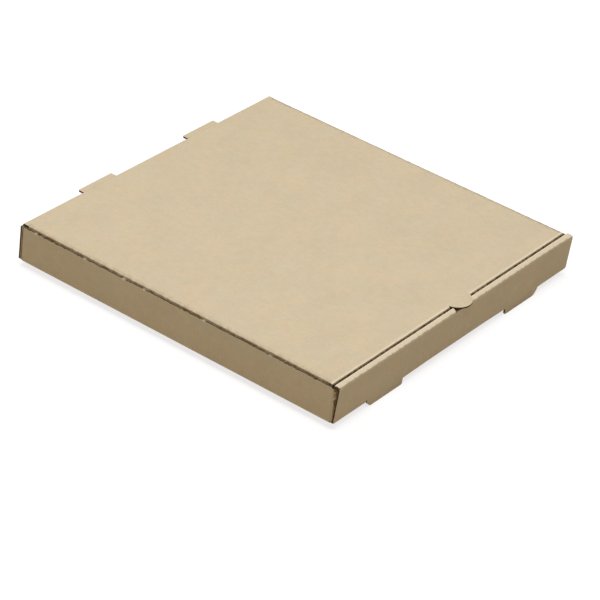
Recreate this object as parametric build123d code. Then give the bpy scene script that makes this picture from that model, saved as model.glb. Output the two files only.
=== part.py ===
from build123d import *
import math
import os

# A pizza box folded from one sheet of plain brown corrugated board.
# The tray is the base with its four walls. The front wall is rolled over into two plies
# with a flat strip on top. The lid turns on the crease along the top of the back wall.
# X runs along the front edge, Y from the front to the back, Z up from the table.

# The whole box
box_width = 330.0          # outside, along the front edge
box_depth = 323.0          # front face to back face
box_height = 34.0          # underside of the base to the top of the closed lid
board = 1.6                # thickness of the corrugated board
crease_inside = 0.4        # inside radius of every fold
ply_gap = 0.3              # air between two plies that lie on each other
overrun = 2.0              # how far a cut runs past what it cuts

# The side walls and their corner flaps
side_top_drop = 1.7        # side wall's raw edge below the top of the lid
flap_length = 62.0         # corner flap, from the side wall's outer face
flap_taper = 7.0           # slant at the free end of a corner flap
flap_foot_gap = 0.6        # under and over a corner flap

# The tabs that stay in the front wall's plane and stand below the base
foot_tab_centre = 97.0     # from the middle of the front wall
foot_tab_width = 48.0
foot_tab_drop = 5.0        # below the underside of the base
foot_tab_slant = 5.0       # run of the slanted outer end
foot_tab_round = 1.5
lock_tab_gap = 1.2         # lock tab to each end of its slot
lock_tab_round = 2.5

# The half-moon thumb tab and its notch in the front wall
thumb_offset = 9.0         # right of the middle
thumb_radius = 14.3
thumb_bulge = 8.8          # beyond the lid's front edge
thumb_slit = 0.4           # cut line round the tab
notch_clearance = 0.5      # strip to the edge of the tab
notch_floor_gap = 0.6      # tab's underside to the bottom of the notch
notch_flare = 5.5          # slanted relief on the left of the tab

# The lid
lid_side_gap = 0.5         # lid's side fold to the side wall's inner face
lid_front_gap = 1.0        # lid's front fold to the strip
front_tuck_depth = 27.0
front_tuck_lean = 2.5      # degrees inward, so that it clears the front wall
front_tuck_setback = 5.0   # end of the front tuck to the side fold
front_tuck_taper = 9.0
side_tuck_depth = 25.0
side_tuck_front_setback = 2.6
side_tuck_rear_setback = 12.0
side_tuck_taper = 14.0
tuck_round = 5.0
rear_tab_centre = 68.2     # from the middle of the back edge
rear_tab_width = 41.5
rear_tab_reach = 4.6       # beyond the back face
rear_tab_round = 0.8
rear_slot_gap = 0.5        # tab to its slot, at rest and as it swings

# Sizes that follow
half_width = box_width / 2
half_board = board / 2
crease_outside = crease_inside + board
crease_middle = crease_inside + half_board
base_under = foot_tab_drop
base_top = base_under + board
lid_top = base_under + box_height
lid_under = lid_top - board

flap_pocket = board + 2 * ply_gap
strip_width = 2 * board + flap_pocket
thumb_reach = thumb_bulge - strip_width - lid_front_gap
front_face = thumb_reach - (box_depth + thumb_reach + rear_tab_reach) / 2
back_face = front_face + box_depth
inner_panel_mid = front_face + strip_width - half_board
front_flap_mid = front_face + board + ply_gap + half_board
rear_flap_mid = back_face - board - ply_gap - half_board
side_wall_mid = half_width - half_board
side_start = front_flap_mid - half_board + crease_outside
side_end = rear_flap_mid + half_board - crease_outside
flap_bottom = base_top + flap_foot_gap
flap_top = lid_under - flap_foot_gap

hinge_y = back_face - half_board
hinge_z = lid_top - half_board
lid_half = half_width - board - lid_side_gap
lid_front = front_face + strip_width + lid_front_gap
thumb_centre_y = lid_front - thumb_bulge + thumb_radius


def board_strip(points, plane, start, end):
    """A ply of board bent along a line of points, drawn on plane and run from start to end."""
    bend_line = FilletPolyline(*points, radius=crease_middle)
    section = trace(bend_line, line_width=board)
    return extrude(plane.offset(start) * section, amount=end - start)


def plate(outline, plane, start, end):
    """A flat piece with the given outline, drawn on plane and run from start to end."""
    section = make_face(Polyline(*outline, close=True))
    return extrude(plane.offset(start) * section, amount=end - start)


def block(x_range, y_range, z_range):
    """A box between three pairs of limits."""
    size = [high - low for low, high in (x_range, y_range, z_range)]
    middle = [(high + low) / 2 for low, high in (x_range, y_range, z_range)]
    return Pos(*middle) * Box(*size)


def both_sides(piece):
    """The piece and its mirror image across the middle of the box."""
    return [piece, mirror(piece, about=Plane.YZ)]


# Points on this plane are (Y, Z) and pieces run along X
across = Plane.YZ
# Points on this plane are (X, Z) and pieces run along minus Y
along = Plane.XZ


def rolled_front():
    """Outer panel, top strip and inner panel, in one ply folded over."""
    panel_foot = base_top + flap_foot_gap
    outer_mid = front_face + half_board
    points = [(front_face + crease_outside + board, base_under + half_board),
              (outer_mid, base_under + half_board),
              (outer_mid, hinge_z),
              (inner_panel_mid, hinge_z),
              (inner_panel_mid, panel_foot)]
    wall = board_strip(points, across, -half_width, half_width)
    trim = block((lid_half, half_width + overrun),
                 (inner_panel_mid - half_board, inner_panel_mid + board),
                 (panel_foot - overrun, lid_top - crease_outside))
    for cut in both_sides(trim):
        wall -= cut
    return wall


def back_wall():
    """Back wall up to the crease, with a slot where each rear tab was cut out of it."""
    wall_top = hinge_z - half_board - ply_gap
    points = [(back_face - crease_outside - board, base_under + half_board),
              (hinge_y, base_under + half_board),
              (hinge_y, wall_top)]
    wall = board_strip(points, across, -half_width, half_width)
    swing = math.hypot(rear_tab_reach + half_board, half_board) + rear_slot_gap
    slot_half = rear_tab_width / 2 + rear_slot_gap
    slot = block((rear_tab_centre - slot_half, rear_tab_centre + slot_half),
                 (back_face - board - overrun, back_face + overrun),
                 (hinge_z - swing, wall_top + overrun))
    for cut in both_sides(slot):
        wall -= cut
    return wall


def side_wall():
    """Left side wall with its bottom fold. Its raw top edge steps down under the strip."""
    fold_start = -half_width + crease_outside + board
    points = [(fold_start, base_under + half_board),
              (-side_wall_mid, base_under + half_board),
              (-side_wall_mid, lid_top - side_top_drop)]
    wall = board_strip(points, along, -side_end, -side_start)
    step = block((-half_width - overrun, -half_width + board + overrun),
                 (side_start - overrun, front_face + strip_width + ply_gap),
                 (flap_top, lid_top))
    return wall - step


def corner_flap(flap_mid, into_box):
    """Left corner flap, folded from the end of the side wall to lie along the front or back."""
    wall_end = flap_mid + into_box * (crease_outside + board)
    points = [(-side_wall_mid, wall_end), (-side_wall_mid, flap_mid),
              (-half_width + flap_length, flap_mid)]
    flap = board_strip(points, Plane.XY, flap_bottom, flap_top)
    free_corners = flap.edges().filter_by(Axis.Y).group_by(Axis.X)[-1]
    return chamfer(free_corners, flap_taper)


def foot_tab_outline(plane_edge, tip):
    """Right foot tab or its slot: square at the inner end, slanted at the outer end."""
    inner = foot_tab_centre - foot_tab_width / 2
    outer = foot_tab_centre + foot_tab_width / 2
    return [(inner, plane_edge), (inner, tip), (outer - foot_tab_slant, tip),
            (outer, plane_edge)]


def foot_tab():
    """Right foot tab: the front wall runs straight on below the base."""
    outline = foot_tab_outline(base_under, 0)
    tab = plate(outline, along, -front_face - board, -front_face)
    tip_corners = tab.edges().filter_by(Axis.Y).group_by(Axis.Z)[0]
    tab = fillet(tip_corners, foot_tab_round)
    inner = outline[0][0]
    outer = outline[-1][0]
    root = block((inner, outer), (front_face, front_face + board),
                 (base_under, base_under + crease_outside))
    return tab + root


def foot_slot():
    """Slot in the base that the right foot tab leaves: as long as the straightened fold."""
    fold_length = crease_middle * math.pi / 2
    slot_end = front_face + crease_outside + foot_tab_drop + crease_outside - fold_length
    outline = foot_tab_outline(front_face + board, slot_end)
    return plate(outline, Plane.XY, base_under - overrun, base_under + crease_outside)


def lock_tab():
    """Right lock tab: the inner panel reaches down through the slot to the underside."""
    inner = foot_tab_centre - foot_tab_width / 2 + lock_tab_gap
    outer = foot_tab_centre + foot_tab_width / 2 - foot_tab_slant - lock_tab_gap
    tab = block((inner, outer),
                (inner_panel_mid - half_board, inner_panel_mid + half_board),
                (base_under, flap_bottom + board))
    return fillet(tab.edges().filter_by(Axis.Y).group_by(Axis.Z)[0], lock_tab_round)


def thumb_notch():
    """Cut in the strip that the thumb tab lies in, with a slanted relief on its left."""
    floor = lid_under - notch_floor_gap
    strip_back = front_face + strip_width
    cut_height = lid_top + overrun - floor
    disc = Pos(thumb_offset, thumb_centre_y, floor + cut_height / 2) * Cylinder(
        thumb_radius + notch_clearance, cut_height)
    chord_y = thumb_centre_y - strip_back
    half_chord = math.sqrt((thumb_radius + notch_clearance) ** 2 - chord_y ** 2)
    relief_x = thumb_offset - half_chord
    relief = plate([(relief_x, strip_back), (relief_x - notch_flare, front_face - overrun),
                    (thumb_offset, front_face - overrun), (thumb_offset, strip_back)],
                   Plane.XY, floor, floor + cut_height)
    reach = block((-half_width, half_width), (front_face - overrun, strip_back + overrun),
                  (floor, floor + cut_height))
    return (disc & reach) + relief


def tray():
    """The base with all its walls, flaps and tabs, one folded sheet."""
    flat_half = half_width - crease_outside
    sheet = block((-flat_half, flat_half),
                  (front_face + crease_outside, back_face - crease_outside),
                  (base_under, base_top))
    sheet += rolled_front()
    sheet += back_wall()
    for wall in both_sides(side_wall()):
        sheet += wall
    for slot in both_sides(foot_slot()):
        sheet -= slot
    left_flaps = [corner_flap(front_flap_mid, 1), corner_flap(rear_flap_mid, -1)]
    for flap in left_flaps:
        for piece in both_sides(flap):
            sheet += piece
    for tab in (foot_tab(), lock_tab()):
        for piece in both_sides(tab):
            sheet += piece
    return sheet - thumb_notch()


def lid_panel():
    """Top panel and front tuck in one ply, with a round edge along the crease."""
    lean = math.tan(math.radians(front_tuck_lean))
    front_mid = lid_front + half_board
    tuck_foot = lid_top - front_tuck_depth
    points = [(hinge_y, hinge_z), (front_mid, hinge_z),
              (front_mid + (hinge_z - tuck_foot) * lean, tuck_foot)]
    sheet = board_strip(points, across, -lid_half, lid_half)
    fold_start = lid_front + crease_outside
    tuck_top = lid_top - crease_outside
    tuck_half = lid_half - front_tuck_setback
    corner = plate([(tuck_half, tuck_top), (lid_half + overrun, tuck_top),
                    (lid_half + overrun, tuck_foot - overrun),
                    (tuck_half - front_tuck_taper, tuck_foot - overrun)],
                   along, -fold_start - overrun, -lid_front + overrun)
    for cut in both_sides(corner):
        sheet -= cut
    round_edge = Rot(0, 90, 0) * Cylinder(half_board, 2 * lid_half)
    return sheet + Pos(0, hinge_y, hinge_z) * round_edge


def side_tuck():
    """Left side tuck, folded down inside the side wall, with slanted ends."""
    fold_start = -lid_half + crease_outside + board
    tuck_mid = -lid_half + half_board
    tuck_foot = lid_top - side_tuck_depth
    first = lid_front + side_tuck_front_setback
    last = back_face - side_tuck_rear_setback
    tuck = board_strip([(fold_start, hinge_z), (tuck_mid, hinge_z), (tuck_mid, tuck_foot)],
                       along, -last, -first)
    outline = plate([(first, lid_top + overrun), (last, lid_top + overrun),
                     (last, lid_top - crease_outside), (last - side_tuck_taper, tuck_foot),
                     (first + side_tuck_taper, tuck_foot), (first, lid_top - crease_outside)],
                    across, -half_width, 0)
    tuck = tuck & outline
    low_corners = tuck.edges().filter_by(Axis.X).group_by(Axis.Z)[0]
    return fillet(low_corners, tuck_round)


def side_fold_gap():
    """What the left side fold takes off the flat edge of the lid."""
    return block((-lid_half - overrun, -lid_half + crease_outside),
                 (lid_front + side_tuck_front_setback, back_face - side_tuck_rear_setback),
                 (lid_under - overrun, lid_top + overrun))


def thumb_cut():
    """Half-moon hole that the thumb tab leaves in the front fold and tuck."""
    reach = lid_front + crease_outside
    hole_z = hinge_z + thumb_radius - thumb_bulge
    hole = Pos(thumb_offset, reach, hole_z) * Rot(90, 0, 0) * Cylinder(
        thumb_radius + thumb_slit, 2 * crease_outside)
    limit = block((-half_width, half_width), (lid_front - overrun, reach),
                  (lid_top - front_tuck_depth, lid_top + overrun))
    lower = block((-half_width, half_width), (lid_front - overrun, reach + crease_outside),
                  (lid_top - front_tuck_depth, lid_top - crease_outside))
    return hole & (limit + lower)


def thumb_tab():
    """Half-moon tab that runs on from the lid over the front wall."""
    disc = Pos(thumb_offset, thumb_centre_y, hinge_z) * Cylinder(thumb_radius, board)
    reach = block((-half_width, half_width),
                  (front_face - thumb_bulge, lid_front + crease_outside), (lid_under, lid_top))
    return disc & reach


def rear_tab():
    """Right rear tab, which stays in the lid's plane beyond the back wall."""
    tab = block((rear_tab_centre - rear_tab_width / 2, rear_tab_centre + rear_tab_width / 2),
                (hinge_y - half_board, back_face + rear_tab_reach), (lid_under, lid_top))
    return fillet(tab.edges().filter_by(Axis.Z).group_by(Axis.Y)[-1], rear_tab_round)


def lid():
    """The lid with its tucks and tabs, up to the crease."""
    sheet = lid_panel()
    for cut in both_sides(side_fold_gap()):
        sheet -= cut
    for tuck in both_sides(side_tuck()):
        sheet += tuck
    sheet -= thumb_cut()
    sheet += thumb_tab()
    for tab in both_sides(rear_tab()):
        sheet += tab
    return sheet


os.makedirs("parts", exist_ok=True)
for name, make in (("tray", tray), ("lid", lid)):
    piece = make()
    export_step(piece, f"parts/{name}.step")
    box = piece.bounding_box()
    print(name, "solids", len(piece.solids()), "volume", round(piece.volume),
          "from", [round(v, 2) for v in box.min], "to", [round(v, 2) for v in box.max])
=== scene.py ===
import bpy
import math
import numpy as np
from mathutils import Matrix, Vector


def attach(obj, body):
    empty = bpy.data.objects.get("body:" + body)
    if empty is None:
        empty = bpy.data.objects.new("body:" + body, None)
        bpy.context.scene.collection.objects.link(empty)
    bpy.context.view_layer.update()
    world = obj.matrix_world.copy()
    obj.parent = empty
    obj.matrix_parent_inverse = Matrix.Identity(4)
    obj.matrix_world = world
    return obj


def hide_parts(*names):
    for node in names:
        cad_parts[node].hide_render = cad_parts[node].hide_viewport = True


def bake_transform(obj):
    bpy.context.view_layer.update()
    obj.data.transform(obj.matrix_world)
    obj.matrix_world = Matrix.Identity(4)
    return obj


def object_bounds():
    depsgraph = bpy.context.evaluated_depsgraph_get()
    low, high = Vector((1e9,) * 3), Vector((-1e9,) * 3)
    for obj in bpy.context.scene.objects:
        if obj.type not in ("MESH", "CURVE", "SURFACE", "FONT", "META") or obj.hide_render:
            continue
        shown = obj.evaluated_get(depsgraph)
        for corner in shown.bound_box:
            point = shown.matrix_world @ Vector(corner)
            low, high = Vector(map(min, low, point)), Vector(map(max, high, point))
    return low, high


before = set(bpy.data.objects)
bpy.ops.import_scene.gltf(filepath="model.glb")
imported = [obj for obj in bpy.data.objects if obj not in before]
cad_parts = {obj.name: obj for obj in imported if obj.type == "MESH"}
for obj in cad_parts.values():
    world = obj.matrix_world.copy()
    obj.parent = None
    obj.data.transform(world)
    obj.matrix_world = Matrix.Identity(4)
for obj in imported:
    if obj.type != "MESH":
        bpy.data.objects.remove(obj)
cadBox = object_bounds()
print("frame loaded:", sorted(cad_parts))

scene = bpy.context.scene
mm = 0.001
hair = 0.001    # in millimetres, tells a row of points from the one beside it
# The frame's box in millimetres: half its width, its top, the thumb tab's tip and the rear tabs' ends
boxHalf, rearY, boxTop = (round(reach / mm, 3) for reach in cadBox[1])
tipY = round(cadBox[0][1] / mm, 3)

# Camera: angles in degrees, distance and shifts in metres, lens and sensor in millimetres
cameraSetup = dict(azimuth=-56.50, elevation=32.19, roll=-7.38, distance=2.318,
                   aside=0.0041, below=0.0258, lens=167.1, sensor=36)


# Right, up and back of the camera: turned round Z, raised, then rolled about the line of sight
def addCamera(azimuth, elevation, roll, distance, aside, below, lens, sensor):
    az, el, turn = (math.radians(angle) for angle in (azimuth, elevation, roll))
    back = Vector((math.sin(az) * math.cos(el), -math.cos(az) * math.cos(el), math.sin(el)))
    level = (-back).cross(Vector((0, 0, 1))).normalized()
    drop = (-back).cross(level)
    right = math.cos(turn) * level + math.sin(turn) * drop
    down = math.cos(turn) * drop - math.sin(turn) * level
    camera = bpy.data.objects.new("camera", bpy.data.cameras.new("camera"))
    scene.collection.objects.link(camera)
    camera.data.sensor_width = sensor
    camera.data.lens = lens
    place = back * distance + right * aside + down * below
    turned = Matrix((right, -down, back)).transposed().to_4x4()
    camera.matrix_world = Matrix.Translation(place) @ turned
    scene.camera = camera


addCamera(**cameraSetup)
scene.view_settings.view_transform = "Standard"
print("camera set")

# Board: sizes are in millimetres. u runs along the flutes, v across them, w outwards through it.
# Flutes are pitch apart with perFlute rows each, and overlap sinks their crests in the liners.
# Folds crush the share squeeze of it, and raw edges draw in by up to rag, in waves of those lengths
board = dict(thick=1.6, liner=0.24, core=0.2, pitch=3.2, perFlute=6, overlap=0.01, foldRadius=0.3,
             squeeze=0.48, squeezeReach=1.1, rag=0.14, ragWaves=(41.0, 17.0, 7.3, 3.1, 1.4),
             lineStep=0.02, sharpAngle=40)
halfBoard = board["thick"] / 2


# A line through points in a plane, each corner rounded: heading is straight between corners
# and turns evenly over an arc, and place is the running sum of its cosine and sine
def foldLine(points, radius):
    points = np.array(points, dtype=float)
    legs = np.diff(points, axis=0)
    lengths = np.hypot(legs[:, 0], legs[:, 1])
    headings = np.unwrap(np.arctan2(legs[:, 1], legs[:, 0]))
    turns = np.diff(headings)
    cuts = radius * np.tan(np.abs(turns) / 2)
    arcs = radius * np.abs(turns)
    starts = np.concatenate(([0], cuts))
    ends = np.concatenate((cuts, [0]))
    straights = lengths - starts - ends
    along = [0.0]
    heading = [headings[0]]
    for leg in range(len(lengths)):
        along.append(along[-1] + straights[leg])
        heading.append(headings[leg])
        if leg < len(turns):
            along.append(along[-1] + arcs[leg])
            heading.append(headings[leg + 1])
    along = np.array(along)
    fine = np.unique(np.concatenate([np.arange(0, along[-1], board["lineStep"]), along]))
    angle = np.interp(fine, along, heading)
    middle = (angle[1:] + angle[:-1]) / 2
    step = np.diff(fine)
    across = points[0, 0] + np.concatenate(([0], np.cumsum(np.cos(middle) * step)))
    up = points[0, 1] + np.concatenate(([0], np.cumsum(np.sin(middle) * step)))
    folds = (along[1:-1:2] + along[2:-1:2]) / 2
    return dict(along=along, folds=folds, fine=fine, angle=angle, across=across, up=up,
                length=along[-1])


# Distance from each point of a line to its nearest fold
def toFold(line, s):
    return np.min([np.abs(s - fold) for fold in line["folds"]], axis=0)


# A point off the line: its place plus w along the normal, which is the heading turned by a
# right angle, and w shrinks near a fold, where the flutes are crushed, but not where spared is 1
def offLine(line, s, w, side, spared=0.0):
    angle = np.interp(s, line["fine"], line["angle"])
    crush = board["squeeze"] * (1 - spared)
    pinch = 1 - crush * np.exp(-(toFold(line, s) / board["squeezeReach"]) ** 2)
    across = np.interp(s, line["fine"], line["across"]) + side * w * pinch * np.sin(angle)
    up = np.interp(s, line["fine"], line["up"]) - side * w * pinch * np.cos(angle)
    return across, up


# Where along the line a leg comes to a given depth, for axis 0, or height, for axis 1
def onLeg(line, leg, value, axis):
    first, last = line["along"][2 * leg], line["along"][2 * leg + 1]
    table = line["across"] if axis == 0 else line["up"]
    ends = np.interp([first, last], line["fine"], table)
    return first + (value - ends[0]) / (ends[1] - ends[0]) * (last - first)


# Stops round the arc of a fold
def roundFold(line, fold, parts):
    return list(np.linspace(line["along"][2 * fold + 1], line["along"][2 * fold + 2], parts))


# Stops in order, on the line only, and more than gap apart
def sortStops(stops, length, gap):
    stops = np.unique(np.round([stop for stop in stops if 0 <= stop <= length], 4))
    return stops[np.concatenate(([True], np.diff(stops) > gap))]


# Even rows between the stops, no two further apart than step
def rowsBetween(stops, step):
    rows = [np.array(stops[:1])]
    for first, last in zip(stops[:-1], stops[1:]):
        rows.append(np.linspace(first, last, max(1, int(math.ceil((last - first) / step))) + 1)[1:])
    return np.concatenate(rows)


# A few sines of unlike lengths and heights added: about minus one to one
def wander(s, seed):
    rng = np.random.default_rng(seed)
    total = np.zeros(np.shape(s))
    for length in board["ragWaves"]:
        total = total + np.sin(2 * np.pi * (s / length + rng.random())) * rng.uniform(0.5, 1)
    return total / 4


# How far a raw edge draws in: half of rag times one plus the wandering sines
def ragAlong(s, seed):
    return board["rag"] * (1 + wander(s, seed)) / 2


# A mark along folds: the highest of their bells, each a weight times e to the minus square of the
# distance over reach
def alongFolds(line, s, weights, reach):
    bells = [weight * np.exp(-((s - fold) / reach) ** 2) for weight, fold in zip(weights, line["folds"])]
    return np.max(bells, axis=0)


# A band from first to last with soft ends of the given widths, between 0 and 1
def band(s, first, last, rise, fall):
    return np.clip((s - first) / rise, 0, 1) * np.clip((last - s) / fall, 0, 1)


# Closed sheets gathered into one mesh, with each point's place on the flat blank and its marks
class Sheets:
    def __init__(self):
        self.points, self.faces, self.kinds, self.flat, self.marks = [], [], [], [], []
        self.count = 0

    # A closed sheet on a grid: u runs between the knot curves, in as many steps as given for each
    # span, and v along the rows. Only kept cells are filled, and a wall closes each edge between a
    # kept cell and an empty one. low and high give w under and over it, and kinds the materials of
    # its top, its underside and its walls
    def add(self, rows, knots, steps, keep, low, high, place, marks, kinds, blank):
        knots = np.array(knots, dtype=float)
        blend = [knots[k] + (knots[k + 1] - knots[k]) * j / steps[k]
                 for k in range(len(steps)) for j in range(steps[k])]
        u = np.array(blend + [knots[-1]])
        v = np.broadcast_to(rows, u.shape)
        cells = np.repeat(np.array(keep, dtype=bool), steps, axis=0)
        columns, lines = u.shape
        top = np.arange(columns * lines).reshape(columns, lines)
        under = top + columns * lines
        tops = np.stack([top[:-1, :-1], top[1:, :-1], top[1:, 1:], top[:-1, 1:]], -1)[cells]
        unders = np.stack([under[:-1, :-1], under[:-1, 1:], under[1:, 1:], under[1:, :-1]], -1)[cells]
        wide = np.pad(cells, ((1, 1), (0, 0)))
        tall = np.pad(cells, ((0, 0), (1, 1)))
        walls = []
        a, b = top[:, :-1], top[:, 1:]
        c, d = under[:, :-1], under[:, 1:]
        walls.append(np.stack([b, a, c, d], -1)[wide[:-1] & ~wide[1:]])
        walls.append(np.stack([a, b, d, c], -1)[~wide[:-1] & wide[1:]])
        a, b = top[:-1], top[1:]
        c, d = under[:-1], under[1:]
        walls.append(np.stack([a, b, d, c], -1)[tall[:, :-1] & ~tall[:, 1:]])
        walls.append(np.stack([b, a, c, d], -1)[~tall[:, :-1] & tall[:, 1:]])
        walls = np.concatenate(walls)
        faces = np.concatenate([tops, unders, walls])
        kind = np.repeat(kinds, [len(tops), len(unders), len(walls)])
        points, flat, marked = [], [], []
        for height in (high, low):
            w = height(u, v)
            points.append(np.stack(place(u, v, w), -1).reshape(-1, 3))
            onBlank = [blank[0] + blank[1] * u, blank[2] + blank[3] * v, w]
            flat.append(np.stack(onBlank, -1).reshape(-1, 3))
            tones = [np.broadcast_to(mark, u.shape) for mark in marks(u, v)]
            marked.append(np.stack(tones, -1).reshape(-1, 3))
        points = np.concatenate(points)
        used, faces = np.unique(faces, return_inverse=True)
        faces = faces.reshape(-1, 4)
        points = points[used]
        # Faces point outwards where the volume, a sum of triple products, is above zero
        p, q, r, s = (points[faces[:, i]] for i in range(4))
        volume = np.sum(np.cross(q - p, r - p) * p) + np.sum(np.cross(r - p, s - p) * p)
        if volume < 0:
            faces = faces[:, ::-1]
        self.points.append(points)
        self.faces.append(faces + self.count)
        self.kinds.append(kind)
        self.flat.append(np.concatenate(flat)[used])
        self.marks.append(np.concatenate(marked)[used])
        self.count += len(points)

    # Outer liner, inner liner and fluted core over one outline. The core's middle is a sine of v.
    # marks gives each point's paleness with its painted highlight, painted shade and dashes, and blank
    # where u and v start on the flat blank, each with its sense
    def addBoard(self, rows, knots, steps, place, marks=None, keep=None, blank=(0, 1, 0, 1)):
        liner, core = board["liner"], board["core"]
        rows = np.array(rows, dtype=float)
        knots = np.array(knots, dtype=float)
        keep = np.ones((len(steps), len(rows) - 1), bool) if keep is None else np.array(keep, dtype=bool)
        marks = marks or (lambda u, v: (0, 0, 0))

        def layer(height):
            return lambda u, v: np.full(u.shape, height)

        swing = halfBoard - liner - core / 2 + board["overlap"]

        def wave(above):
            return lambda u, v: swing * np.sin(2 * np.pi * v / board["pitch"]) + above

        self.add(rows, knots, steps, keep, layer(halfBoard - liner), layer(halfBoard), place, marks,
                 (0, 1, 2), blank)
        self.add(rows, knots, steps, keep, layer(-halfBoard), layer(liner - halfBoard), place, marks,
                 (1, 0, 2), blank)
        # The core has finer rows, and each takes the cells of the row that it lies in
        gap = board["pitch"] / board["perFlute"]
        fine = [rows[:1]]
        for first, last in zip(rows[:-1], rows[1:]):
            parts = max(1, int(round((last - first) / gap)))
            fine.append(np.linspace(first, last, parts + 1)[1:])
        fine = np.concatenate(fine)
        cell = np.clip(np.searchsorted(rows, (fine[1:] + fine[:-1]) / 2) - 1, 0, len(rows) - 2)
        fineKnots = np.array([np.interp(fine, rows, knot) for knot in knots])
        self.add(fine, fineKnots, steps, keep[:, cell], wave(-core / 2), wave(core / 2), place, marks,
                 (1, 1, 1), blank)

    # The mirror image, across the middle of the box, of the sheets from number first on. With only,
    # it takes their place
    def mirror(self, first, only=False):
        last = len(self.points)
        dropped = sum(len(points) for points in self.points[first:last])
        for i in range(first, last):
            self.points.append(self.points[i] * (-1, 1, 1))
            shift = self.count - self.faces[i].min()
            self.faces.append((self.faces[i] + shift)[:, ::-1])
            self.kinds.append(self.kinds[i])
            self.flat.append(self.flat[i] * (-1, 1, 1))
            self.marks.append(self.marks[i])
            self.count += len(self.points[i])
        if only:
            for gathered in (self.points, self.faces, self.kinds, self.flat, self.marks):
                del gathered[first:last]
            self.faces[first:] = [faces - dropped for faces in self.faces[first:]]
            self.count -= dropped

    # One object from all the sheets, which rides a body and takes the place of a node if given
    def build(self, name, body, node):
        points = np.concatenate(self.points) * mm
        faces = np.concatenate(self.faces)
        mesh = bpy.data.meshes.new(name)
        mesh.vertices.add(len(points))
        mesh.vertices.foreach_set("co", points.ravel())
        mesh.loops.add(faces.size)
        mesh.loops.foreach_set("vertex_index", faces.ravel())
        mesh.polygons.add(len(faces))
        mesh.polygons.foreach_set("loop_start", np.arange(0, faces.size, 4))
        mesh.polygons.foreach_set("loop_total", np.full(len(faces), 4))
        mesh.polygons.foreach_set("material_index", np.concatenate(self.kinds))
        mesh.update(calc_edges=True)
        flat = mesh.attributes.new("sheet", "FLOAT_VECTOR", "POINT")
        flat.data.foreach_set("vector", (np.concatenate(self.flat) * mm).ravel())
        marks = mesh.attributes.new("marks", "FLOAT_VECTOR", "POINT")
        marks.data.foreach_set("vector", np.concatenate(self.marks).ravel())
        mesh.validate()
        piece = bpy.data.objects.new(name, mesh)
        scene.collection.objects.link(piece)
        for material in papers:
            mesh.materials.append(material)
        mesh.shade_smooth()
        mesh.set_sharp_from_angle(angle=math.radians(board["sharpAngle"]))
        if body:
            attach(piece, body)
        if node:
            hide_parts(node)
        print(name, "has", 2 * len(faces), "triangles")
        return piece


# A node group with its inputs as name, kind and value, and its outputs as name and kind
def newGroup(name, inputs, outputs):
    group = bpy.data.node_groups.new(name, "ShaderNodeTree")
    for label, kind, value in inputs:
        socket = group.interface.new_socket(label, in_out="INPUT", socket_type="NodeSocket" + kind)
        if value is not None:
            socket.default_value = value
    for label, kind in outputs:
        group.interface.new_socket(label, in_out="OUTPUT", socket_type="NodeSocket" + kind)
    source = group.nodes.new("NodeGroupInput")
    sink = group.nodes.new("NodeGroupOutput")
    return group, source, sink


# Adds a node, sets its properties, and links or sets its inputs: by name, or by number as i0, i1, i2
def addNode(tree, kind, settings=None, **inputs):
    node = tree.nodes.new("ShaderNode" + kind)
    for key, value in (settings or {}).items():
        setattr(node, key, value)
    for key, value in inputs.items():
        numbered = key[0] == "i" and key[1:].isdigit()
        socket = node.inputs[int(key[1:]) if numbered else key.replace("_", " ")]
        if isinstance(value, bpy.types.NodeSocket):
            tree.links.new(value, socket)
        else:
            socket.default_value = value
    return node


# One step of arithmetic on numbers
def maths(tree, operation, first, second=0.0, third=0.0):
    node = addNode(tree, "Math", dict(operation=operation), i0=first, i1=second, i2=third)
    return node.outputs[0]


# Two vectors or colours multiplied part by part
def multiply(tree, first, second):
    return addNode(tree, "VectorMath", dict(operation="MULTIPLY"), i0=first, i1=second).outputs[0]


# First colour where factor is 0, second where it is 1
def mixColours(tree, factor, first, second):
    mixed = addNode(tree, "Mix", dict(data_type="RGBA"), Factor=factor, i6=first, i7=second)
    return mixed.outputs[2]


# Noise over the flat blank, stretched by a scale for each direction, between 0 and 1
def stretchedNoise(tree, sheet, scale, detail=3.0, rough=0.55):
    noise = addNode(tree, "TexNoise", Vector=multiply(tree, sheet, (*scale, 1)), Scale=1.0,
                    Detail=detail, Roughness=rough)
    return noise.outputs["Fac"]


# Value spread about its middle: (value - 0.5) times amount
def spread(tree, value, amount):
    return maths(tree, "MULTIPLY", maths(tree, "SUBTRACT", value, 0.5), amount)


# Noises of the paper: waves a metre along the flutes and across them, detail and roughness
grain = dict(
    clouds=((22, 30), 4), blots=((160, 110), 3), streaks=((520, 230), 2), cockle=((75, 110), 2),
    fibres=((1500, 330), 4, 0.6), fuzz=((4200, 3100), 2, 0.5), specks=((2100, 800), 1, 0.4),
    jitter=((90, 40), 1), patches=((230, 150), 4, 0.7), warmth=((44, 34), 4, 0.7),
    olive=((57, 71), 4, 0.7))
# How strongly they count, and the two drifts of hue: reddish to bluish, and pinkish to olive
paperSetup = dict(
    clouds=0.9, blots=0.8, streaks=0.7, fuzz=0.6, specksFrom=0.3, specksTo=0.22,
    scorePitch=8.6, jitter=9.0, dashFrom=0.1, dashTo=0.6, patchFrom=0.40, patchTo=0.57,
    warmth=((1.06, 0.988, 0.93, 1), (0.94, 1.012, 1.07, 1)),
    olive=((1.035, 0.965, 1.035, 1), (0.965, 1.035, 0.965, 1)),
    roughness=0.66, roughFibres=0.18, highRidge=0.35, highFibres=0.5, highFuzz=0.35, highCockle=16.0)
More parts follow.
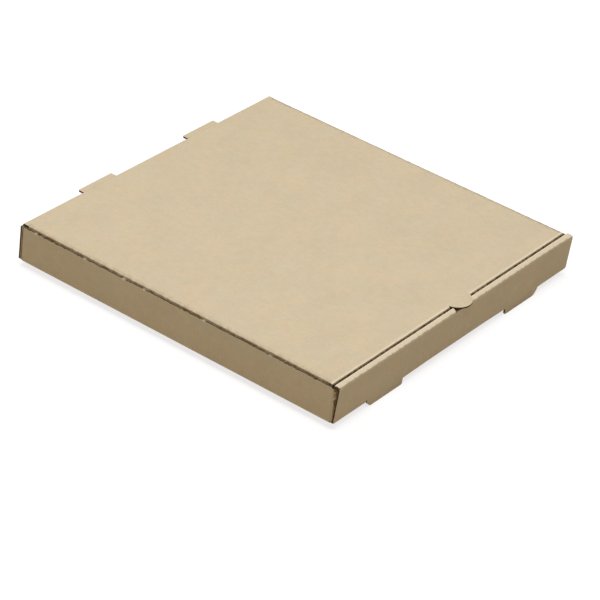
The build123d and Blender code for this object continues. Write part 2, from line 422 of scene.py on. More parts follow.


# Paper: its tone is one plus clouds, fibres, flecks and the lines of the flutes behind it, each times
# its own amount, and that scales a colour mixed by the marks from the plain one, the pale one with
# its painted highlight, and the painted shade one
def makeKraftGroup():
    group, source, sink = newGroup(
        "kraftPaper",
        [("Sheet", "Vector", None), ("Marks", "Vector", None), ("Colour", "Color", (0.5, 0.4, 0.3, 1)),
         ("Pale And Highlight Colour", "Color", (0.8, 0.7, 0.5, 1)), ("Painted Shade Colour", "Color", (0.2, 0.13, 0.07, 1)),
         ("Dash Shade", "Float", 0.2), ("Clouds", "Float", 0.1), ("Fibres", "Float", 0.1),
         ("Flecks", "Float", 0.2), ("Washboard", "Float", 0.03)],
        [("Colour", "Color"), ("Roughness", "Float"), ("Height", "Float")])
    sheet = source.outputs["Sheet"]
    noise = {name: stretchedNoise(group, sheet, *values) for name, values in grain.items()}
    setup = paperSetup

    def times(first, second):
        return maths(group, "MULTIPLY", first, second)

    def plus(first, second):
        return maths(group, "ADD", first, second)

    along = addNode(group, "SeparateXYZ", i0=sheet).outputs
    ridge = maths(group, "SINE", times(along["Y"], 2 * math.pi / (board["pitch"] * mm)))
    cloudy = plus(spread(group, noise["clouds"], setup["clouds"]),
                  spread(group, noise["blots"], setup["blots"]))
    cloudy = plus(cloudy, spread(group, noise["streaks"], setup["streaks"]))
    hairs = plus(spread(group, noise["fibres"], 1.0), spread(group, noise["fuzz"], setup["fuzz"]))
    fleck = addNode(group, "MapRange", Value=noise["specks"], From_Min=setup["specksFrom"],
                    From_Max=setup["specksTo"], To_Min=0.0, To_Max=1.0).outputs[0]
    tone = plus(times(cloudy, source.outputs["Clouds"]), times(hairs, source.outputs["Fibres"]))
    tone = plus(tone, times(ridge, source.outputs["Washboard"]))
    tone = plus(maths(group, "SUBTRACT", tone, times(fleck, source.outputs["Flecks"])), 1.0)
    marks = addNode(group, "SeparateXYZ", i0=source.outputs["Marks"]).outputs
    # Paler stretched paper with a painted highlight where the marks' X is high
    paleAndLit = mixColours(group, marks["X"], source.outputs["Colour"], source.outputs["Pale And Highlight Colour"])
    # Perforated scores: dashes along u, of slightly uneven length
    dashTurn = plus(times(along["X"], 2 * math.pi / (setup["scorePitch"] * mm)),
                    spread(group, noise["jitter"], setup["jitter"]))
    dash = addNode(group, "MapRange", Value=maths(group, "SINE", dashTurn), From_Min=setup["dashFrom"],
                   From_Max=setup["dashTo"]).outputs[0]
    dashed = times(times(dash, marks["Z"]), source.outputs["Dash Shade"])
    tone = times(tone, maths(group, "SUBTRACT", 1.0, dashed))
    # The painted shade in the gaps comes and goes along them
    patches = addNode(group, "MapRange", Value=noise["patches"], From_Min=setup["patchFrom"],
                      From_Max=setup["patchTo"], To_Min=0.0, To_Max=1.0).outputs[0]
    paintedShadeMix = mixColours(group, times(marks["Y"], patches), paleAndLit, source.outputs["Painted Shade Colour"])
    drift = multiply(group, mixColours(group, noise["warmth"], *setup["warmth"]),
                     mixColours(group, noise["olive"], *setup["olive"]))
    shaded = addNode(group, "VectorMath", dict(operation="SCALE"), i0=multiply(group, paintedShadeMix, drift),
                     Scale=tone)
    group.links.new(shaded.outputs[0], sink.inputs["Colour"])
    rough = plus(spread(group, noise["fibres"], setup["roughFibres"]), setup["roughness"])
    group.links.new(rough, sink.inputs["Roughness"])
    height = plus(times(ridge, setup["highRidge"]), spread(group, noise["fibres"], setup["highFibres"]))
    height = plus(height, spread(group, noise["fuzz"], setup["highFuzz"]))
    height = plus(height, spread(group, noise["cockle"], setup["highCockle"]))
    group.links.new(height, sink.inputs["Height"])
    return group


kraftGroup = makeKraftGroup()
# The liners' faces; the core and the liners' hollow sides, dark with painted shade of the hollows; and their
# cut edges, darker than the faces in part as painted shade
paperKinds = dict(
    kraftLiner=dict(colour=(0.600, 0.500, 0.350), paleAndHighlight=(0.80, 0.70, 0.54), clouds=0.15, fibres=0.15,
                    flecks=0.15, washboard=0.009, bump=0.00006),
    coreInPaintedShade=dict(colour=(0.130, 0.085, 0.042), paleAndHighlight=(0.62, 0.52, 0.38), clouds=0.2, fibres=0.3,
                    flecks=0.2, washboard=0.0, bump=0.00004),
    cutEdgeWithPaintedShade=dict(colour=(0.330, 0.245, 0.145), paleAndHighlight=(0.78, 0.68, 0.52), clouds=0.5, fibres=0.8,
                 flecks=0.3, washboard=0.0, bump=0.00008))
# The painted shade colour of the gaps and bends, the darkening of score dashes, and the specular level
allPapers = dict(paintedShade=(0.19, 0.108, 0.022), dashShade=0.2, specular=0.2)


# A paper of its own colours and amounts, with its fibres and flutes raised by up to bump metres
def makePaper(name, colour, paleAndHighlight, clouds, fibres, flecks, washboard, bump):
    material = bpy.data.materials.new(name)
    material.use_nodes = True
    tree = material.node_tree
    shader = tree.nodes["Principled BSDF"]
    sheet = addNode(tree, "Attribute", dict(attribute_name="sheet"))
    marks = addNode(tree, "Attribute", dict(attribute_name="marks"))
    paper = tree.nodes.new("ShaderNodeGroup")
    paper.node_tree = kraftGroup
    tree.links.new(sheet.outputs["Vector"], paper.inputs["Sheet"])
    tree.links.new(marks.outputs["Vector"], paper.inputs["Marks"])
    values = {"Colour": (*colour, 1), "Pale And Highlight Colour": (*paleAndHighlight, 1), "Painted Shade Colour": (*allPapers["paintedShade"], 1),
              "Dash Shade": allPapers["dashShade"], "Clouds": clouds, "Fibres": fibres,
              "Flecks": flecks, "Washboard": washboard}
    for label, value in values.items():
        paper.inputs[label].default_value = value
    tree.links.new(paper.outputs["Colour"], shader.inputs["Base Color"])
    tree.links.new(paper.outputs["Roughness"], shader.inputs["Roughness"])
    relief = addNode(tree, "Bump", Strength=1.0, Distance=bump, Height=paper.outputs["Height"])
    tree.links.new(relief.outputs["Normal"], shader.inputs["Normal"])
    shader.inputs["Specular IOR Level"].default_value = allPapers["specular"]
    return material


papers = [makePaper(name, **values) for name, values in paperKinds.items()]
print("papers made")

# The tray: base, rolled front wall, back wall, side walls and corner flaps
tray = dict(
    halfWidth=boxHalf, front=-162.6, back=160.4, under=5.0, lidTop=boxTop, wallTop=37.1, flatInset=4.5,
    # The roll: its inner panel with the lock tabs, and its shorter ends above trimDrop from the top
    innerY=-158.0, innerHalf=162.5, innerFoot=7.2, trimDrop=2.0, lockTab=(74.2, 114.8), lockRound=2.5,
    # How it leans over its height: in at the left end, out along its front and more at the right end
    rollFoot=8.0, rollTo=-157.0, leftIn=2.0, standOut=0.55, flare=0.9, flareFrom=125.0, flareRun=40.0,
    leanOver=2.4,
    # Foot tabs, with the slots and nicks that they leave
    footTab=(73.0, 121.0), footSlant=5.0, footRound=1.5, footUp=1.2, slotEnd=-155.485,
    nick=0.9, nickUp=1.9, nickShort=3.0, spareReach=5.0,
    # Ends of the folds between the base and its walls, and how far they draw in round the bottom
    endInset=3.6, drawFrom=1.3, drawIn=1.7,
    rearSlot=(46.95, 89.45), rearSlotFoot=32.24, turnBefore=20.0,
    # Side walls: from and to in depth, tops, the low step at the front and the wear of the raw edge
    sideFrom=-158.7, sideTo=156.5, leftTop=37.5, rightTop=36.9, stepTo=-156.9, stepTop=36.8,
    wallFoot=7.0, wallRun=30.0, sideBow=0.25, cornerBack=0.3, cornerRun=14.0, torn=0.6, tornSeed=17,
    burrs=((144, 0.5), (92, 0.7), (51, 0.8), (30, 0.5), (-31, 0.7), (-97, 0.4)), burrWidth=1.1,
    # Corner flaps
    flapReach=103.0, flapFrom=7.2, flapTo=36.8, flapTaper=7.0, frontFlapY=-159.9, rearFlapY=157.7,
    frontBend=0.8, rearBend=0.5, bendWithin=2.4, bendRun=1.4,
    # Tones: paler with a painted highlight on each fold of the line and over the strip, painted shade in
    # the gap, dashes on the scores, a paler side fold, a painted highlight on the burrs and painted shade
    # on the front corner bends
    foldPaleAndHighlight=(1.0, 0.45, 0.35, 0.35), foldReach=0.9, stripPaleAndHighlight=0.32, stripSoft=0.5, rollShade=0.7,
    rollBand=(-3.2, -0.2, 1.6, 0.6), scored=(0.5, 1, 0, 0), scoreReach=0.6,
    sidePale=0.3, sideReach=0.8, burrPaleAndHighlight=2.4, burrDepth=0.8,
    bendShade=1.2, bendBand=(0.3, 6.0, 0.4, 3.0), bendSlant=1.6)
# The thumb tab is part of a circle. Its notch in the roll has a clearance round that circle, floors
# at two heights and a flare on the left, and its hole in the lid's tuck has a slit round the tab
thumb = dict(centreX=9.0, centreY=-150.7, radius=14.3, tip=tipY, root=-153.5, clearance=0.05,
             floor=36.8, frontFloor=37.3, notchY=-157.2, rightReach=(7.0, 13.3),
             flare=5.5, flareDepth=7.4, flareReach=3.9, slit=0.4, holeZ=43.0, holeRoot=13.5, holeFoot=0.9)
floorMid = tray["under"] + halfBoard    # heights and depths of the middle of the board
lidMid = tray["lidTop"] - halfBoard
outerMid = tray["front"] + halfBoard
backMid = tray["back"] - halfBoard
wallMid = tray["halfWidth"] - halfBoard
flatHalf = tray["halfWidth"] - tray["flatInset"]    # where the sheet of each side wall starts
trayLine = foldLine([(tray["innerY"], tray["under"]), (tray["innerY"], lidMid), (outerMid, lidMid),
                     (outerMid, floorMid), (backMid, floorMid), (backMid, tray["wallTop"])],
                    board["foldRadius"])


# Half the width of a circle at a distance away from its centre: the root of the squares' difference
def chord(radius, away):
    return np.sqrt(np.maximum(radius ** 2 - away ** 2, 0.0))


# Rounded corner of an outline: how far the edge draws in near a tip, on a circle of that radius
def cornerInset(fromTip, radius):
    return radius - chord(radius, np.clip(radius - fromTip, 0, radius))


# How far up a wall a height is: 0 at the foot, 1 at the top, evenly between
def climb(height, foot):
    return np.clip((height - foot) / tray["wallRun"], 0, 1)


# How far the front corner fold stands back at a height: none at the foot, most at the top
def setBack(height):
    return tray["cornerBack"] * climb(height, tray["wallFoot"])


# How far the roll's front stands forward: more the higher up, and by a square towards its right end
def standForward(u, across, up):
    toRight = np.clip((u - tray["flareFrom"]) / tray["flareRun"], 0, 1)
    toFront = np.clip((tray["innerY"] - halfBoard - across) / tray["leanOver"], 0, 1)
    return (tray["standOut"] + tray["flare"] * toRight ** 2) * climb(up, tray["rollFoot"]) * toFront


# The foot tabs run straight on past the bottom fold, so nothing is crushed there. It is 1 in them
# and falls to 0 over a millimetre beside them
def spareTabs(u, v):
    first, last = tray["footTab"]
    within = np.clip(np.minimum(np.abs(u) - first, last - np.abs(u)) + 1, 0, 1)
    bottomFold = trayLine["folds"][2]
    return within * (np.abs(v - bottomFold) < tray["spareReach"]) * (v < bottomFold)


# A point of the main sheet: u is its place across the box, and its depth and height are off the line
def placeTray(u, v, w):
    across, up = offLine(trayLine, v, w, 1, spareTabs(u, v))
    return u, across - standForward(u, across, up), up


# Stretched folds and the strip are paler and carry a painted highlight, the roll's inner face carries the
# gap's painted shade, and scores are perforated
def trayMarks(u, v):
    first, second = trayLine["folds"][:2]
    paleAndHighlight = alongFolds(trayLine, v, tray["foldPaleAndHighlight"], tray["foldReach"]) * (1 - spareTabs(u, v))
    paleAndHighlight = np.maximum(paleAndHighlight, tray["stripPaleAndHighlight"] * band(v, first, second, tray["stripSoft"], tray["stripSoft"]))
    shade = tray["rollShade"] * band(v - first, *tray["rollBand"])
    return paleAndHighlight, shade, alongFolds(trayLine, v, tray["scored"], tray["scoreReach"])


# Where along the line each cut comes
def trayPlaces():
    return dict(
        lockEnd=onLeg(trayLine, 0, tray["innerFoot"], 1),
        trim=onLeg(trayLine, 0, tray["lidTop"] - tray["trimDrop"], 1),
        notchIn=onLeg(trayLine, 0, thumb["floor"], 1),
        notchOut=onLeg(trayLine, 2, thumb["frontFloor"], 1),
        footFold=onLeg(trayLine, 2, floorMid + tray["footUp"], 1),
        nick=onLeg(trayLine, 2, floorMid + tray["nickUp"], 1),
        slot=onLeg(trayLine, 3, tray["slotEnd"], 0),
        frontEnd=onLeg(trayLine, 3, tray["front"] + tray["endInset"], 0),
        sideFrom=onLeg(trayLine, 3, tray["sideFrom"], 0),
        sideTo=onLeg(trayLine, 3, tray["sideTo"], 0),
        backFrom=onLeg(trayLine, 3, tray["back"] - tray["endInset"], 0),
        rearSlot=onLeg(trayLine, 4, tray["rearSlotFoot"], 1))


# Rows of the main sheet: at each cut, round each fold and close beside it
def trayRows(at):
    stops = list(at.values()) + [at["slot"] - tray["nickShort"], trayLine["length"]]
    stops += [tray["lockRound"] * part for part in (0, 0.3, 0.6, 1)]
    for fold, foldAt in enumerate(trayLine["folds"]):
        stops += roundFold(trayLine, fold, parts=7)
        stops += [foldAt + away for away in (-3.0, -1.9, -1.2, -0.8, 0.8, 1.2, 1.9, 3.0)]
    return rowsBetween(sortStops(stops, trayLine["length"], gap=0.01), step=6.0)


# How far the main sheet reaches to the left and to the right along the line
def trayEnds(at, rows, depth, height):
    ends = np.where(rows < at["trim"] - hair, tray["innerHalf"], tray["halfWidth"])
    ends = np.where((rows > at["frontEnd"] + hair) & (rows < at["backFrom"] - hair), flatHalf, ends)
    # They draw in round the bottom folds, as the side walls' folds do
    low = np.clip((floorMid + tray["drawFrom"] - height) / tray["drawFrom"], 0, 1)
    wide = ends > flatHalf
    ends = np.where(wide, ends - tray["drawIn"] * low ** 2, ends)
    right = np.where(wide, ends - ragAlong(rows, seed=3), ends)
    inRoll = (rows > at["trim"] - hair) & (depth < tray["rollTo"])
    return right - tray["leftIn"] * climb(height, tray["rollFoot"]) * inRoll, right


# The notch: its right side follows the thumb tab's circle, its left side slants away from it
def notchSides(depth, height):
    radius = thumb["radius"] + thumb["clearance"]
    reach = depth - standForward(thumb["centreX"], depth, height)
    away = np.clip(reach, tray["front"] - tray["standOut"], thumb["notchY"]) - thumb["centreY"]
    right = thumb["centreX"] + np.clip(chord(radius, away), *thumb["rightReach"])
    leftFrom = thumb["centreX"] - chord(radius, thumb["notchY"] - thumb["centreY"])
    slant = thumb["flare"] * (thumb["notchY"] - depth) / thumb["flareDepth"]
    return leftFrom - np.clip(slant, 0, thumb["flareReach"]), right


# One sheet makes the lock tabs, the roll, the base and the back wall, less its slots and nicks
def addMainSheet(sheets):
    at = trayPlaces()
    rows = trayRows(at)
    depth = np.interp(rows, trayLine["fine"], trayLine["across"])
    height = np.interp(rows, trayLine["fine"], trayLine["up"])
    left, right = trayEnds(at, rows, depth, height)
    notchLeft, notchRight = notchSides(depth, height)
    # One pair of curves serves the lock tabs, the foot slots and, from turnBefore on, the rear slots
    inset = cornerInset(rows, tray["lockRound"])
    slotFrom = tray["front"] + board["thick"]
    slant = np.clip((depth - slotFrom) / (tray["slotEnd"] - slotFrom), 0, 1)
    slant = tray["footSlant"] * slant * (rows > at["footFold"] - hair)
    turn = [rows < at["lockEnd"] + hair, rows < at["rearSlot"] - tray["turnBefore"]]
    inner = np.select(turn, [tray["lockTab"][0] + inset, tray["footTab"][0]], tray["rearSlot"][0])
    outer = np.select(turn, [tray["lockTab"][1] - inset, tray["footTab"][1] - slant], tray["rearSlot"][1])
    nick = outer + tray["nick"]
    knots = [-left, -nick, -outer, -inner, notchLeft, notchRight, inner, outer, nick, right]
    middles = (rows[1:] + rows[:-1]) / 2
    walls = middles > at["lockEnd"]
    notched = (middles > at["notchIn"]) & (middles < at["notchOut"])
    slotted = (middles > at["footFold"]) & (middles < at["slot"]) | (middles > at["rearSlot"])
    nicked = (middles > at["nick"]) & (middles < at["slot"] - tray["nickShort"])
    keep = [walls, walls & ~nicked, ~slotted, walls, walls & ~notched,
            walls, ~slotted, walls & ~nicked, walls]
    sheets.addBoard(rows, knots, [2, 1, 1, 2, 1, 2, 1, 1, 2], placeTray, trayMarks, keep)


# Foot tabs run straight on down from the outer panel
def addFootTabs(sheets):
    start = len(sheets.points)
    tabIn, tabOut = tray["footTab"]
    rows = rowsBetween([0, 0.35, 0.8, tray["footRound"], floorMid + tray["footUp"]], step=1.2)
    inset = cornerInset(rows, tray["footRound"])
    slant = np.clip(1 - rows / tray["under"], 0, 1) * tray["footSlant"]
    sheets.addBoard(rows, [tabIn + inset, tabOut - slant - inset], [4],
                    lambda u, v, w: (u, outerMid - w, v))
    sheets.mirror(start)


# Burrs where the knife tore a side wall's top: the highest of a few narrow bells along it
def burrs(v):
    bells = [tall * np.exp(-((v - at) / tray["burrWidth"]) ** 2) for at, tall in tray["burrs"]]
    return np.max(bells, axis=0)


# A side wall: v is the depth, u runs out along the base and up the wall
def addSideWall(sheets, sideTop, worn, mirrored):
    start = len(sheets.points)
    side = foldLine([(-flatHalf, floorMid), (-wallMid, floorMid), (-wallMid, sideTop)],
                    board["foldRadius"])

    # It bows in as half a sine along it, and its front end is set back, both more the higher up
    def place(u, v, w):
        across, up = offLine(side, u, w, -1)
        along = v - tray["sideFrom"]
        arch = np.sin(np.pi * np.clip(along / (tray["sideTo"] - tray["sideFrom"]), 0, 1))
        back = setBack(up) * np.clip(1 - along / tray["cornerRun"], 0, 1)
        return across + tray["sideBow"] * arch * climb(up, tray["wallFoot"]), v + back, up

    # Paler along the fold, and paler with a painted highlight on the torn burrs at the top
    def marks(u, v):
        litBurrs = tray["burrPaleAndHighlight"] * burrs(v) * (u > side["length"] - tray["burrDepth"])
        return np.maximum(alongFolds(side, u, [tray["sidePale"]], tray["sideReach"]), litBurrs), 0, 0

    stops = [tray["sideFrom"], tray["sideFrom"] + 0.5, tray["stepTo"] - 0.02, tray["stepTo"], tray["sideTo"]]
    stops += [at + away for at, tall in tray["burrs"] for away in (-0.9, 0, 0.9)]
    rows = rowsBetween(sorted(stops), step=1.6)
    top = np.where(rows < tray["stepTo"] - hair, side["length"] + tray["stepTop"] - sideTop, side["length"])
    tears = np.random.default_rng(tray["tornSeed"]).random(len(rows)) ** 2
    top = top + worn * (burrs(rows) - tray["torn"] * tears)
    stops = [0] + roundFold(side, 0, parts=6) + [side["along"][2] + 1.5]
    stops += [side["length"] - short for short in (1.3, 0.7, 0.4)]
    knots = [np.full(rows.shape, stop) for stop in stops] + [top]
    sheets.addBoard(rows, knots, [1] * len(stops), place, marks,
                    blank=(-flatHalf, -1, onLeg(trayLine, 3, 0, 0), 1))
    if mirrored:
        sheets.mirror(start, only=True)


# A corner flap: u is the height, v runs along the wall, round the corner and along the front or back
def addCornerFlap(sheets, endY, flapY, radius):
    atFront = flapY < 0
    corner = foldLine([(-wallMid, endY), (-wallMid, flapY), (-tray["flapReach"], flapY)], radius)
    bendFrom, bendTo = corner["along"][1:3]

    # The outside of a front bend is set back with the wall
    def place(u, v, w):
        across, depth = offLine(corner, v, w, -1 if atFront else 1)
        outside = np.clip((tray["bendWithin"] - tray["halfWidth"] - across) / tray["bendRun"], 0, 1)
        return across, depth + atFront * setBack(u) * outside, u

    # Painted shade on the bend, starting further round it towards the foot
    def marks(u, v):
        before, beyond, rise, fall = tray["bendBand"]
        shadeFrom = bendFrom - before + tray["bendSlant"] * (1 - climb(u, tray["wallFoot"]))
        return 0, atFront * tray["bendShade"] * band(v, shadeFrom, bendTo + beyond, rise, fall), 0

    taperAt = corner["length"] - tray["flapTaper"]
    stops = [0] + roundFold(corner, 0, parts=6) + [bendTo + 0.8, bendTo + 2, taperAt, corner["length"]]
    rows = rowsBetween(stops, step=5)
    cut = np.clip(rows - taperAt, 0, None)
    sheets.addBoard(rows, [tray["flapFrom"] + cut, tray["flapTo"] - cut], [4], place, marks)


# All that folds up from the base
def makeTray():
    sheets = Sheets()
    addMainSheet(sheets)
    addFootTabs(sheets)
    addSideWall(sheets, tray["leftTop"], worn=1, mirrored=False)
    addSideWall(sheets, tray["rightTop"], worn=0.3, mirrored=True)
    start = len(sheets.points)
    addCornerFlap(sheets, tray["sideFrom"], tray["frontFlapY"], tray["frontBend"])
    addCornerFlap(sheets, tray["sideTo"], tray["rearFlapY"], tray["rearBend"])
    sheets.mirror(start)
    sheets.build("tray_board", "tray", "tray")


makeTray()
print("tray made")

# The lid: top panel, front tuck, side tucks, thumb tab and rear tabs
lid = dict(
    half=162.5, front=-155.5, hingeY=159.6, hingeGap=0.8, flatInset=4.5, sag=0.35,
    # Front tuck: its foot, lean in degrees, and half width, less tuckTaper over tuckDrop
    tuckFoot=12.0, lean=2.5, tuckHalf=157.9, tuckTaper=9.0, tuckDrop=27.0, tuckRound=5.0,
    # Side tucks: from and to in depth, slanted over sideTaper at each end, with softened corners
    sideFrom=-152.9, sideTo=154.4, sideFoot=14.0, sideTaper=14.0, sideSoft=1.2, sideLeast=0.02,
    sideWave=0.18, sideWanders=(1.0, 3.5),
    rearTab=(47.45, 88.95), rearReach=rearY, rearRound=0.8,
    # Tones: paler front fold with a painted highlight, and painted shade that starts on or under each bend
    foldPaleAndHighlight=0.85, foldReach=0.9, foldShift=0.2, frontBand=(0.1, 3.6, 0.6, 1.3), sideBendShade=0.3,
    sideBendBand=(-0.7, 3.0, 0.3, 1.2), sideBand=(0.05, 3.4, 0.4, 1.3), rearShade=0.3,
    rearBand=(-1.0, 0.9, 0.1, 0.8))
frontMid = lid["front"] + halfBoard
lidEnd = lid["hingeY"] - lid["hingeGap"]
foldHalf = lid["half"] - lid["flatInset"]    # where the sheet of each side tuck starts
tuckBack = (lidMid - lid["tuckFoot"]) * math.tan(math.radians(lid["lean"]))
lidLine = foldLine([(lidEnd, lidMid), (frontMid, lidMid), (frontMid + tuckBack, lid["tuckFoot"])],
                   board["foldRadius"])


# The lid's sag: a product of two half sines, none at its edges
def lidSag(x, y):
    ahead = np.clip((y - lid["front"]) / (lid["hingeY"] - lid["front"]), 0, 1)
    aside = np.clip((x + lid["half"]) / (2 * lid["half"]), 0, 1)
    return lid["sag"] * np.sin(np.pi * ahead) * np.sin(np.pi * aside)


# Tabs that lie in the lid's plane
def placeFlat(u, v, w):
    return u, v, lidMid + w


# Top panel and front tuck, with the hole that the thumb tab leaves
def addLidSheet(sheets):
    line = lidLine

    def place(u, v, w):
        across, up = offLine(line, v, w, 1)
        return u, across, up - lidSag(u, across)

    # The front fold is stretched paler and has a painted highlight, and painted shade lies in the gap from
    # just under its bend
    def marks(u, v):
        paleAndHighlight = alongFolds(line, v + lid["foldShift"], [lid["foldPaleAndHighlight"]], lid["foldReach"])
        return paleAndHighlight, band(v - line["folds"][0], *lid["frontBand"]), 0

    holeRadius = thumb["radius"] + thumb["slit"]
    rootAt = onLeg(line, 0, thumb["root"], 0)
    sideFrom = onLeg(line, 0, lid["sideTo"], 0)
    sideTo = onLeg(line, 0, lid["sideFrom"], 0)
    tuckAt = onLeg(line, 1, tray["lidTop"] - tray["trimDrop"], 1)
    holeFoot = onLeg(line, 1, thumb["holeZ"] - holeRadius + 0.02, 1)
    # Each step of the outline has a row close beside it
    stops = [0, sideFrom - 0.03, sideFrom, sideTo, sideTo + 0.03, rootAt, tuckAt - 0.03, tuckAt,
             holeFoot, line["length"]] + roundFold(line, 0, parts=7)
    stops += [line["folds"][0] + away for away in (-3, -1.2, -0.8, 0.8, 1.2, 2, 3.5, 5, 7)]
    # Rows crowd together towards the foot of the hole and towards the tuck's rounded corners
    stops += [holeFoot - (holeFoot - tuckAt) * part for part in (0.01, 0.04, 0.1, 0.2, 0.35, 0.55, 0.75)]
    stops += [line["length"] - lid["tuckRound"] * part for part in (0.05, 0.2, 0.4, 0.7, 1.0)]
    rows = rowsBetween(sortStops(stops, line["length"], gap=0.004), step=8.0)
    height = np.interp(rows, line["fine"], line["up"])
    taper = np.clip((tray["lidTop"] - tray["trimDrop"] - height) / lid["tuckDrop"], 0, 1)
    tuckHalf = lid["tuckHalf"] - lid["tuckTaper"] * taper
    tuckHalf = tuckHalf - cornerInset(line["length"] - rows, lid["tuckRound"])
    ends = np.where(rows > tuckAt + hair, tuckHalf, lid["half"]) - ragAlong(rows, seed=8)
    ends = np.where((rows >= sideFrom - hair) & (rows <= sideTo + hair), foldHalf, ends)
    hole = chord(holeRadius, thumb["holeZ"] - height)
    hole = np.where(rows < rootAt, thumb["holeRoot"], np.where(rows > holeFoot, thumb["holeFoot"], hole))
    knots = [-ends, thumb["centreX"] - hole, thumb["centreX"] + hole, ends]
    middles = (rows[1:] + rows[:-1]) / 2
    solid = np.ones(len(middles), bool)
    keep = [solid, ~((middles > rootAt) & (middles < holeFoot)), solid]
    sheets.addBoard(rows, knots, [6, 2, 6], place, marks, keep)


# Thumb tab: part of a circle, with rows that crowd together towards its tip
def addThumbTab(sheets):
    parts = np.array([0.002, 0.01, 0.03, 0.06, 0.1, 0.16, 0.24, 0.34, 0.46, 0.6, 0.75, 0.88, 1])
    rows = thumb["tip"] + (thumb["root"] - thumb["tip"]) * parts
    width = chord(thumb["radius"], rows - thumb["centreY"])
    sheets.addBoard(rows, [thumb["centreX"] - width, thumb["centreX"] + width], [8], placeFlat)


# Side tucks: v is the depth, u runs out along the lid and down the tuck, which wanders in and out
def addSideTucks(sheets):
    start = len(sheets.points)
    sideMid = lid["half"] - halfBoard
    side = foldLine([(-foldHalf, lidMid), (-sideMid, lidMid), (-sideMid, lid["sideFoot"])],
                    board["foldRadius"])
    bendEnd = side["along"][2]
    run = side["length"] - bendEnd

    def place(u, v, w):
        across, up = offLine(side, u, w, 1)
        wanderFrom, wanderTo = lid["sideWanders"]
        waves = np.clip((u - wanderFrom) / (wanderTo - wanderFrom), 0, 1) * wander(v, seed=11)
        return across - lid["sideWave"] * waves, v, up - lidSag(across, v)

    # Painted shade: faint on the bend, then full in the gap below it
    def marks(u, v):
        below = u - side["folds"][0]
        bend = lid["sideBendShade"] * band(below, *lid["sideBendBand"])
        return 0, np.maximum(bend, band(below, *lid["sideBand"])), 0

    stops = [lid["sideFrom"] + lid["sideTaper"] * part for part in (0, 0.12, 0.5, 0.8, 0.9, 1.0, 1.12, 1.3)]
    stops += [lid["sideFrom"] + lid["sideTo"] - stop for stop in stops[::-1]]
    rows = rowsBetween(stops, step=1.6)
    # The drop of each end is the smooth lesser of its slant and the tuck's full run:
    # minus soft times the logarithm of the sum of their exponentials
    slant = np.minimum(rows - lid["sideFrom"], lid["sideTo"] - rows) / lid["sideTaper"] * run
    soft = lid["sideSoft"]
    drop = np.clip(-soft * np.log(np.exp(-slant / soft) + np.exp(-run / soft)), lid["sideLeast"], run)
    knots = [np.full(rows.shape, stop) for stop in [0] + roundFold(side, 0, parts=6)]
    knots += [bendEnd + drop * part for part in (0.04, 0.1, 0.25, 0.4, 1)]
    sheets.addBoard(rows, knots, [1] * (len(knots) - 1), place, marks, blank=(-foldHalf, -1, lidEnd, -1))
    sheets.mirror(start)


# Rear tabs, with painted shade where they leave the crease
def addRearTabs(sheets):
    start = len(sheets.points)
    tabFrom, tabTo = lid["rearTab"]
    reach = lid["rearReach"]
    rows = rowsBetween([lidEnd, lidEnd + 0.9, reach - lid["rearRound"], reach - 0.3, reach], step=1.6)
    inset = cornerInset(reach - rows, lid["rearRound"])
    sheets.addBoard(rows, [tabFrom + inset, tabTo - inset], [4], placeFlat,
                    lambda u, v: (0, lid["rearShade"] * band(v - lidEnd, *lid["rearBand"]), 0))
    sheets.mirror(start)


# All that turns with the lid
def makeLid():
    sheets = Sheets()
    addLidSheet(sheets)
    addThumbTab(sheets)
    addSideTucks(sheets)
    addRearTabs(sheets)
    sheets.build("lid_board", "lid", "lid")


makeLid()
print("lid made")

# The crease: the strips of board that bend between the back wall and the lid, beside its tabs
crease = dict(onWall=0.6, onLid=2.0, rowStep=0.5, parts=12, thin=0.99, shade=0.3, shadeReach=0.9)


# Each strip follows one rounded line from the wall to the lid, slightly thinner than the board, with painted
# shade along its bend
def makeCrease():
    sheets = Sheets()
    level = lidMid
    line = foldLine([(backMid, tray["wallTop"] - crease["onWall"]), (backMid, level),
                     (lid["hingeY"] - crease["onLid"], level)], board["foldRadius"])
    rows = rowsBetween([0] + roundFold(line, 0, parts=9) + [line["length"]], crease["rowStep"])
    rearIn, rearOut = tray["rearSlot"]
    for first, last in ((-lid["half"], -rearOut), (-rearIn, rearIn), (rearOut, lid["half"])):
        knots = [np.full(rows.shape, first), np.full(rows.shape, last)]
        sheets.addBoard(rows, knots, [crease["parts"]],
                        lambda u, v, w: (u, *offLine(line, v, w * crease["thin"], 1)),
                        lambda u, v: (0, alongFolds(line, v, [crease["shade"]], crease["shadeReach"]), 0))
    piece = sheets.build("hinge_crease", None, None)
    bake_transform(piece)


makeCrease()
print("crease made")

# Floor, world and lamp
studio = dict(
    floorHalf=6.0, floorSeen=(0.34, 0.34, 0.34, 1), floorBounce=(0.66, 0.58, 0.45, 1), floorLift=0.76,
    floorRough=0.9, floorSpecular=0.1, worldStrength=0.2, worldTint=(1, 0.9, 0.76, 1),
    lampPlace=(-0.1, -0.01, 1.7), lampTarget=(0, 0, 0.02), lampSize=1.2, lampPower=28)


# One for rays that show the background itself: from the camera, or by gloss or glass
def raysThatSee(tree):
    rays = addNode(tree, "LightPath")
    seen = maths(tree, "MAXIMUM", rays.outputs["Is Camera Ray"], rays.outputs["Is Glossy Ray"])
    return maths(tree, "MAXIMUM", seen, rays.outputs["Is Transmission Ray"])


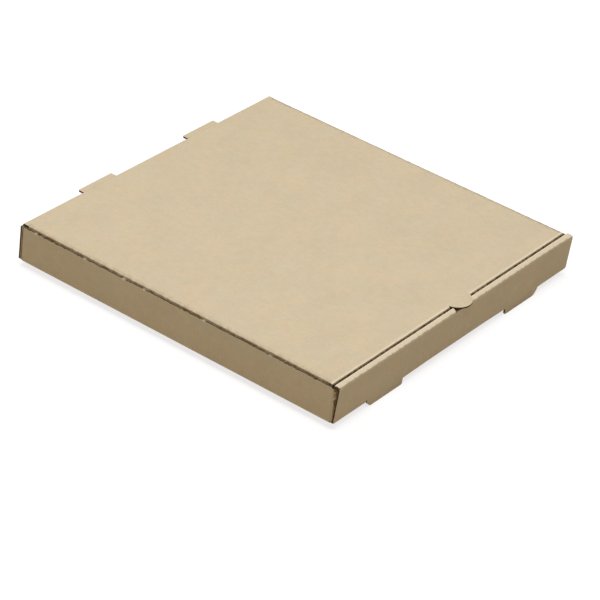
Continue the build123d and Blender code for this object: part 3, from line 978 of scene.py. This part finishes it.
# A floor that is seen white but for the object's shadow, and throws back warm light
def makeFloor(half):
    mesh = bpy.data.meshes.new("floor")
    corners = [(-half, -half, 0), (half, -half, 0), (half, half, 0), (-half, half, 0)]
    mesh.from_pydata(corners, [], [(0, 1, 2, 3)])
    floor = bpy.data.objects.new("floor", mesh)
    scene.collection.objects.link(floor)
    material = bpy.data.materials.new("paleFloor")
    material.use_nodes = True
    tree = material.node_tree
    shader = tree.nodes["Principled BSDF"]
    shader.inputs["Roughness"].default_value = studio["floorRough"]
    shader.inputs["Specular IOR Level"].default_value = studio["floorSpecular"]
    seen = raysThatSee(tree)
    colour = mixColours(tree, seen, studio["floorBounce"], studio["floorSeen"])
    tree.links.new(colour, shader.inputs["Base Color"])
    lift = addNode(tree, "Emission", Color=(1, 1, 1, 1),
                   Strength=maths(tree, "MULTIPLY", seen, studio["floorLift"]))
    both = addNode(tree, "AddShader", i0=shader.outputs[0], i1=lift.outputs[0])
    tree.links.new(both.outputs[0], tree.nodes["Material Output"].inputs["Surface"])
    mesh.materials.append(material)


# A world that is seen white, and lights the object warmly and less
def makeWorld():
    world = bpy.data.worlds.new("studio")
    scene.world = world
    world.use_nodes = True
    tree = world.node_tree
    seen = raysThatSee(tree)
    strength = addNode(tree, "MapRange", Value=seen, From_Min=0.0, From_Max=1.0,
                       To_Min=studio["worldStrength"], To_Max=1.0)
    tree.links.new(strength.outputs[0], tree.nodes["Background"].inputs["Strength"])
    tint = mixColours(tree, seen, studio["worldTint"], (1, 1, 1, 1))
    tree.links.new(tint, tree.nodes["Background"].inputs["Color"])


# A square lamp at a place, turned to its target
def addLamp(name, place, target, size, power):
    lamp = bpy.data.lights.new(name, "AREA")
    lamp.shape = "SQUARE"
    lamp.size = size
    lamp.energy = power
    lit = bpy.data.objects.new(name, lamp)
    scene.collection.objects.link(lit)
    lit.location = place
    lit.rotation_euler = (Vector(target) - Vector(place)).to_track_quat("-Z", "Y").to_euler()


makeFloor(studio["floorHalf"])
makeWorld()
addLamp("overhead", studio["lampPlace"], studio["lampTarget"], studio["lampSize"], studio["lampPower"])
print("floor, world and lamp set")
